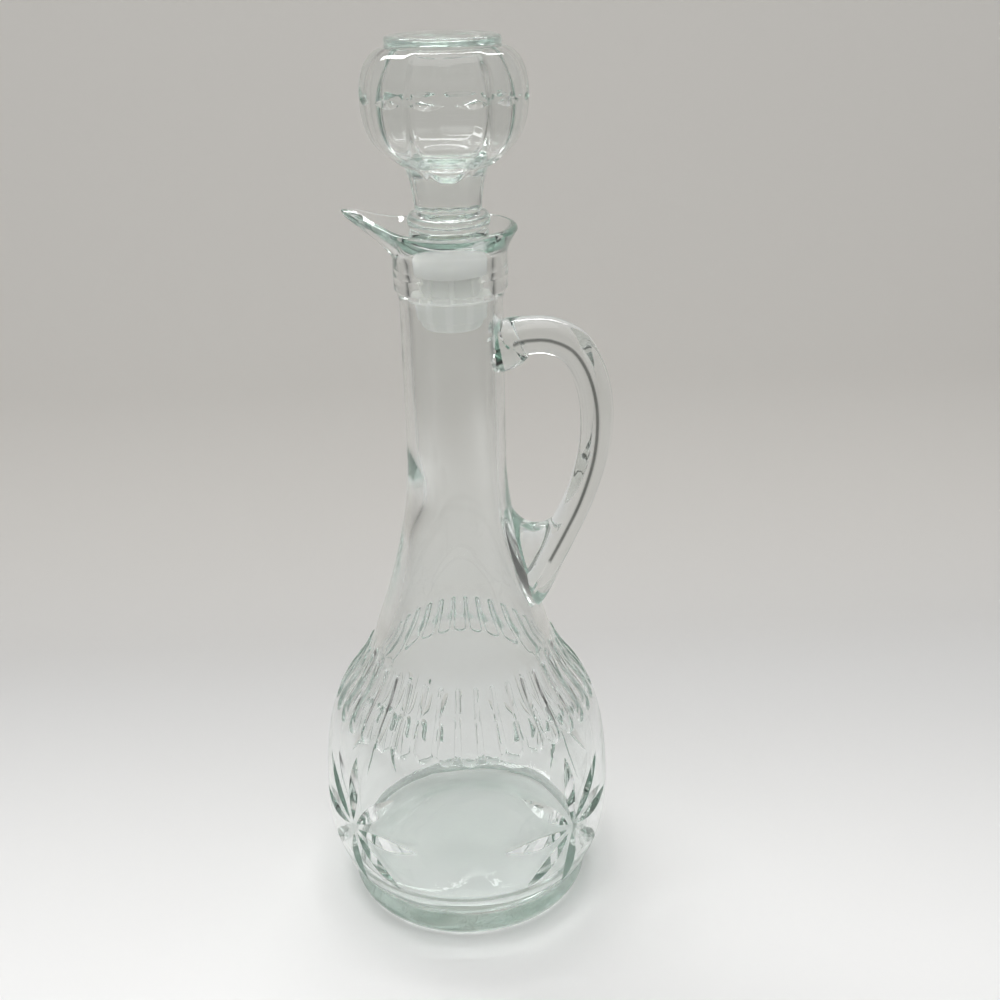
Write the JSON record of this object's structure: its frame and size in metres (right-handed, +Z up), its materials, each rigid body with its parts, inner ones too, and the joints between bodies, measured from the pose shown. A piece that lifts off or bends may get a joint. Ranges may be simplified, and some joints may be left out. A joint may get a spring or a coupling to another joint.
{
  "type": "decanter",
  "caption": "Clear glass decanter with a pouring spout, a loop handle, a fluted shoulder, cut stars on the bowl and a faceted hollow stopper seated in a plastic sleeve.",
  "frame": {"origin": "on the vessel's axis, in the plane that the foot stands on", "axes": "+Z up along the vessel's axis, +X towards the handle, -X towards the spout"},
  "size_m": [0.104, 0.104, 0.301],
  "materials": {
    "vessel_glass": "clear pressed soda glass with a faint green tint",
    "handle_glass": "clear drawn soda glass with a faint green tint",
    "stopper_glass": "clear faceted glass with a faint green tint",
    "sleeve_plastic": "milky translucent polyethylene"
  },
  "bodies": {
    "vessel": {"glass_vessel": "vessel_glass", "glass_handle": "handle_glass"},
    "sleeve": {"stopper_sleeve": "sleeve_plastic"},
    "stopper": {"glass_stopper": "stopper_glass"}
  },
  "joints": [
    {"name": "stopper_lift", "type": "slide", "parent": "vessel", "child": "sleeve", "axis": [0, 0, 1], "range_m": [0, 0.06]},
    {"name": "stopper_twist", "type": "hinge", "parent": "sleeve", "child": "stopper", "pos_m": [0, 0, 0.24], "axis": [0, 0, 1], "continuous": true}
  ]
}
